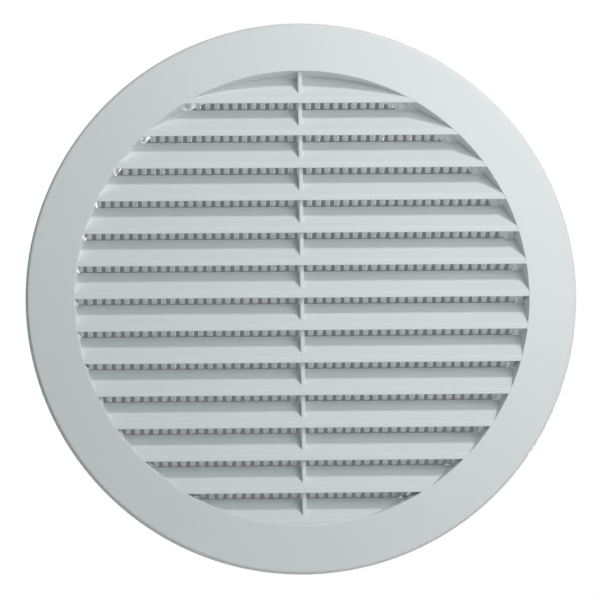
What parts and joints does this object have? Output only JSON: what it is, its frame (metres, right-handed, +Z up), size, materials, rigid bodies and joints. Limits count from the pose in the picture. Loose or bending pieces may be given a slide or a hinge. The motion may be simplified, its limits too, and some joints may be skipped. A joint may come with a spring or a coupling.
{
  "type": "round vent cover",
  "caption": "Round louvred vent cover moulded in one piece: flat rim, slanted blades over a fine insect comb, and a collar behind that pushes into a wall duct.",
  "frame": {"origin": "where the collar's axis meets the plane of the wall that the rim's feet lie on", "axes": "+Z up as the cover hangs on a wall, +Y along the collar into the wall, front facing -Y, +X to the right of someone who faces it"},
  "size_m": [0.15, 0.027, 0.15],
  "materials": {
    "vent_plastic": "satin moulded plastic, pale cool white"
  },
  "bodies": {
    "root": {"louvred_vent_cover": "vent_plastic"}
  },
  "joints": []
}
